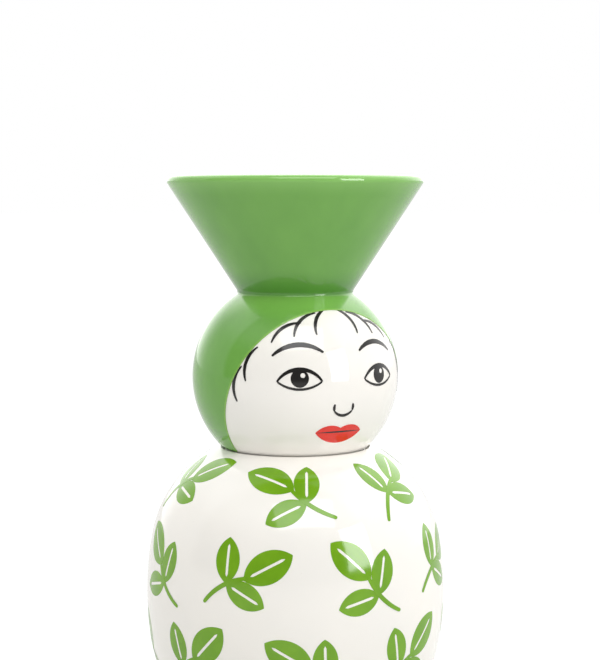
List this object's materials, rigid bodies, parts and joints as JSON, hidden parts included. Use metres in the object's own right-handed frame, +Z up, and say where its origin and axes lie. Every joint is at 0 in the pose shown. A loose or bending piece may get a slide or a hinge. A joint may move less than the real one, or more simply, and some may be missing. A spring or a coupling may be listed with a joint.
{
  "type": "face vase",
  "caption": "Glazed ceramic vase: a painted globe head with a wide funnel for stems, lifting off a rounded leaf-printed body on a soft ring.",
  "frame": {"origin": "on the ground, under the middle of the foot ring", "axes": "+Z up along the vase's axis; the face looks along -Y; +X is to the right of a viewer who looks at the face"},
  "size_m": [0.2084, 0.2084, 0.3895],
  "materials": {
    "white_glaze": "clear gloss glaze over white stoneware",
    "hood_green_glaze": "gloss leaf-green glaze",
    "print_green_enamel": "gloss yellow-green on-glaze print",
    "black_enamel": "gloss black on-glaze enamel",
    "red_enamel": "gloss red on-glaze enamel",
    "ring_rubber": "matt black silicone"
  },
  "bodies": {
    "vessel": {"body_vessel": "white_glaze", "leaf_print": "print_green_enamel"},
    "ring": {"seat_ring": "ring_rubber"},
    "head": {"head_vessel": "white_glaze", "green_glaze": "hood_green_glaze", "left_eye": "black_enamel", "right_eye": "black_enamel", "left_brow": "black_enamel", "right_brow": "black_enamel", "nose_line": "black_enamel", "lips": "red_enamel", "lip_parting": "black_enamel", "hair_locks": "black_enamel"}
  },
  "joints": [
    {"name": "head_turn", "type": "hinge", "parent": "vessel", "child": "ring", "pos_m": [0, 0, 0.19899], "axis": [0, 0, 1], "continuous": true},
    {"name": "head_lift", "type": "slide", "parent": "ring", "child": "head", "axis": [0, 0, 1], "range_m": [0, 0.06]}
  ]
}
